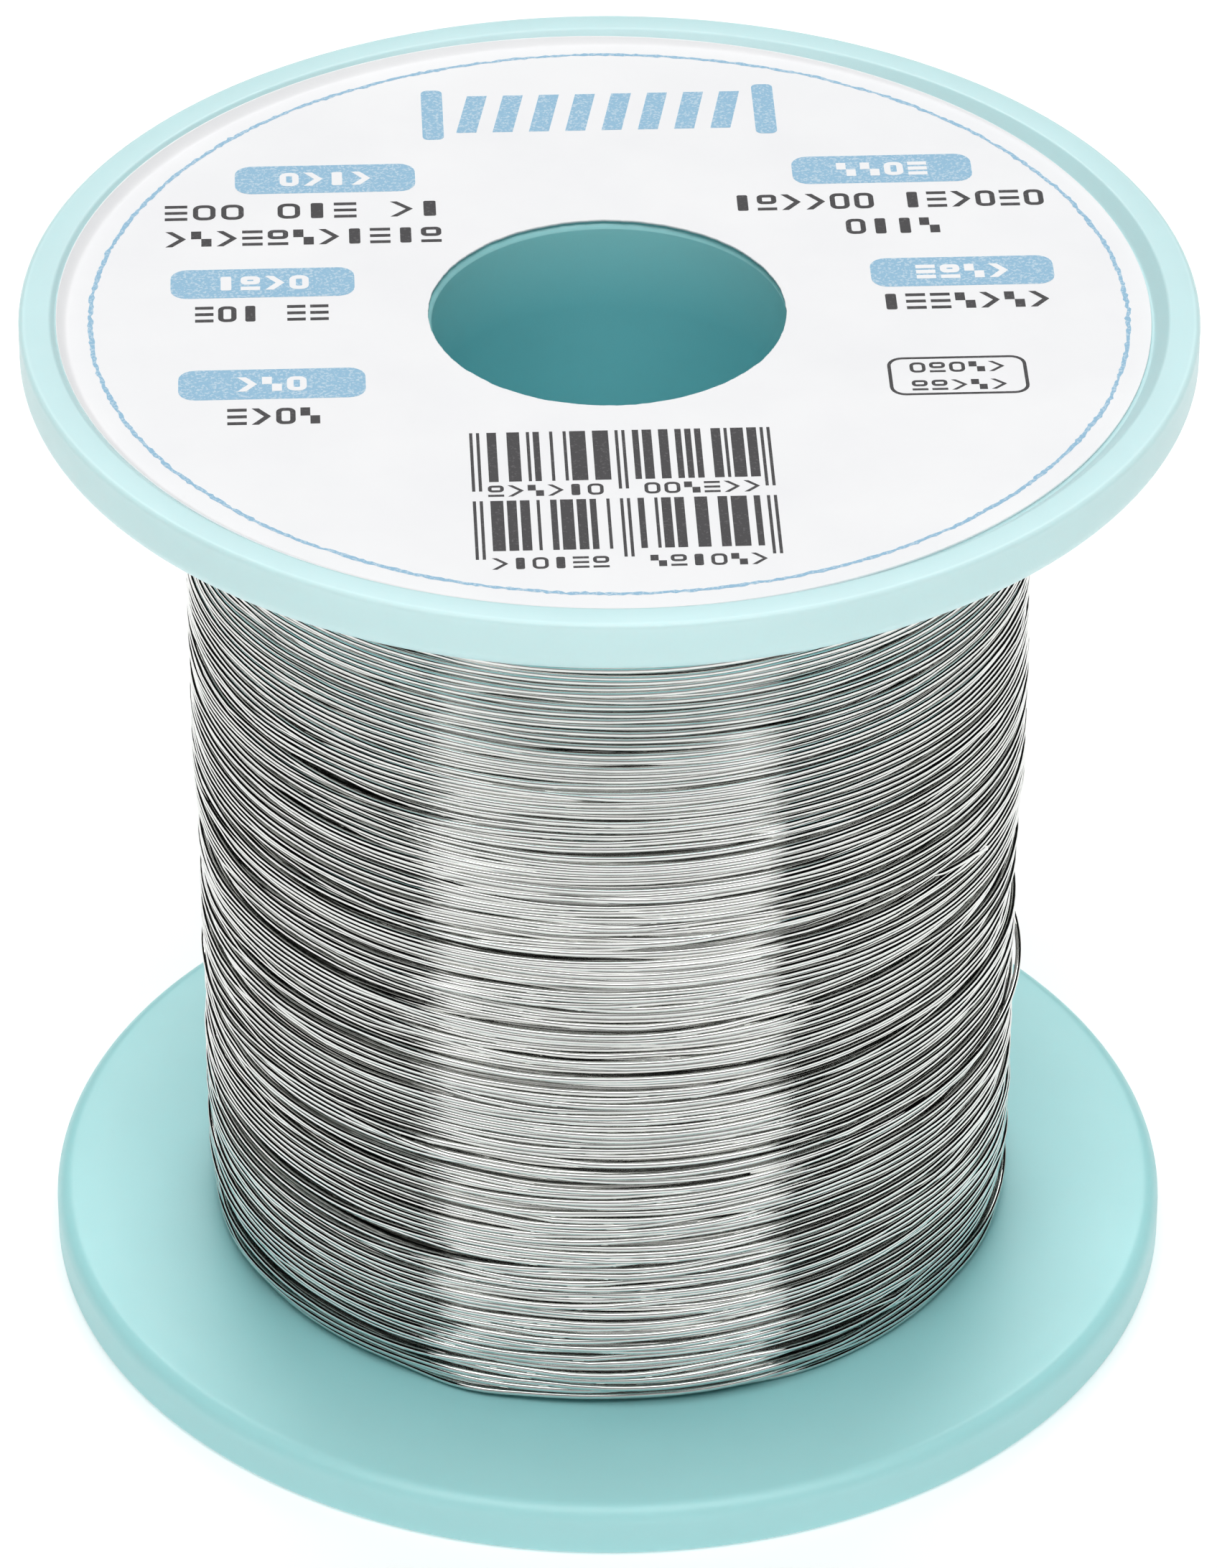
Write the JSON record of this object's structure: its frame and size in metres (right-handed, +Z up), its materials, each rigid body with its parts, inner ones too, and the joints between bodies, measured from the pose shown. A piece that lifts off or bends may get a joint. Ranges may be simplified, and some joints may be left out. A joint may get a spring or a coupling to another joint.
{
  "type": "solder wire spool",
  "caption": "Two-flange plastic spool with a central spindle bore, wound full with thin solder wire and labelled on its end faces.",
  "frame": {"origin": "centre of the bottom rim, on the surface that the spool stands on", "axes": "+Z up along the spindle bore; -Y towards the front, from which the label reads upright"},
  "size_m": [0.053, 0.053, 0.0508],
  "materials": {
    "spool_plastic": "moulded styrene, pale aqua, satin",
    "label_paper": "printed white paper label",
    "solder": "bright drawn tin solder wire",
    "label_print_blue": "pale blue label print",
    "label_print_black": "black label print"
  },
  "bodies": {
    "root": {"lower_spool_half": "spool_plastic", "upper_spool_half": "spool_plastic", "bottom_label": "label_paper", "top_label": "label_paper", "wire_inner_layers": "solder", "wire_outer_layer": "solder", "wire_slack_turn": "solder", "wire_start_tail": "solder"}
  },
  "joints": []
}
